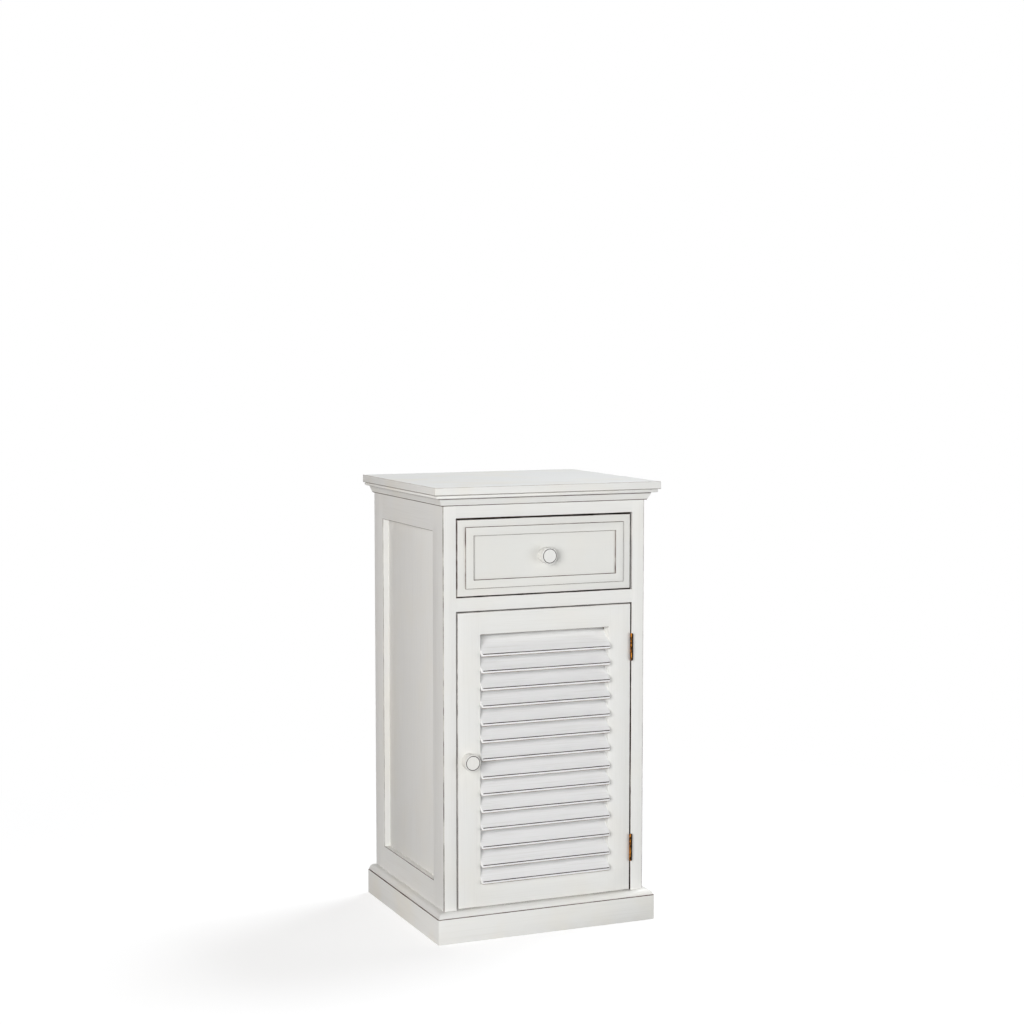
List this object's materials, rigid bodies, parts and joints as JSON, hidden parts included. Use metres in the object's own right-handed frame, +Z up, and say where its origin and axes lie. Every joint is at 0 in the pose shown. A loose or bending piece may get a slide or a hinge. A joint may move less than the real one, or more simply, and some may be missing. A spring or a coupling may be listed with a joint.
{
  "type": "louvred door cabinet",
  "caption": "Narrow free-standing painted wooden cabinet with one drawer above a side-hinged louvred door, moulded top and plinth.",
  "frame": {"origin": "on the floor, under the middle of the overall plan", "axes": "+Z up, +X to the right across the front, the front faces -Y"},
  "size_m": [0.46, 0.404, 0.85],
  "materials": {
    "painted_wood": "satin paint",
    "painted_knob": "satin paint",
    "bare_wood": "matt",
    "antique_brass": "aged",
    "zinc_steel": "zinc plated",
    "catch_plastic": "moulded"
  },
  "bodies": {
    "carcass": {"top_board": "painted_wood", "cornice_front": "painted_wood", "cornice_left": "painted_wood", "cornice_right": "painted_wood", "plinth_front": "painted_wood", "plinth_left": "painted_wood", "plinth_right": "painted_wood", "post_front_left": "painted_wood", "post_front_right": "painted_wood", "post_rear_left": "painted_wood", "post_rear_right": "painted_wood", "front_rail_top": "painted_wood", "front_rail_middle": "painted_wood", "front_rail_bottom": "painted_wood", "side_rail_left_top": "painted_wood", "side_rail_left_bottom": "painted_wood", "side_rail_right_top": "painted_wood", "side_rail_right_bottom": "painted_wood", "side_panel_left": "painted_wood", "side_panel_right": "painted_wood", "back_panel": "bare_wood", "floor_board": "bare_wood", "shelf": "bare_wood", "shelf_pins": "zinc_steel", "drawer_runner_left": "bare_wood", "drawer_runner_right": "bare_wood", "magnetic_catch": "catch_plastic", "hinge_frame_leaves": "antique_brass", "hinge_frame_screws": "antique_brass", "hinge_pins": "antique_brass"},
    "drawer": {"drawer_front": "painted_wood", "drawer_side_left": "bare_wood", "drawer_side_right": "bare_wood", "drawer_back": "bare_wood", "drawer_bottom": "bare_wood", "drawer_knob": "painted_knob", "drawer_knob_screw": "zinc_steel"},
    "door": {"door_stile_left": "painted_wood", "door_stile_right": "painted_wood", "door_rail_top": "painted_wood", "door_rail_bottom": "painted_wood", "door_knob": "painted_knob", "door_knob_screw": "zinc_steel", "catch_strike": "zinc_steel", "hinge_door_leaves": "antique_brass", "hinge_door_screws": "antique_brass", "louvre_01": "painted_wood", "louvre_02": "painted_wood", "louvre_03": "painted_wood", "louvre_04": "painted_wood", "louvre_05": "painted_wood", "louvre_06": "painted_wood", "louvre_07": "painted_wood", "louvre_08": "painted_wood", "louvre_09": "painted_wood", "louvre_10": "painted_wood", "louvre_11": "painted_wood", "louvre_12": "painted_wood", "louvre_13": "painted_wood", "louvre_14": "painted_wood"}
  },
  "joints": [
    {"name": "drawer_slide", "type": "slide", "parent": "carcass", "child": "drawer", "axis": [0, -1, 0], "range_m": [0, 0.25]},
    {"name": "door_hinge", "type": "hinge", "parent": "carcass", "child": "door", "pos_m": [0.179, -0.1813, 0], "axis": [0, 0, 1], "range_deg": [0, 175]}
  ]
}
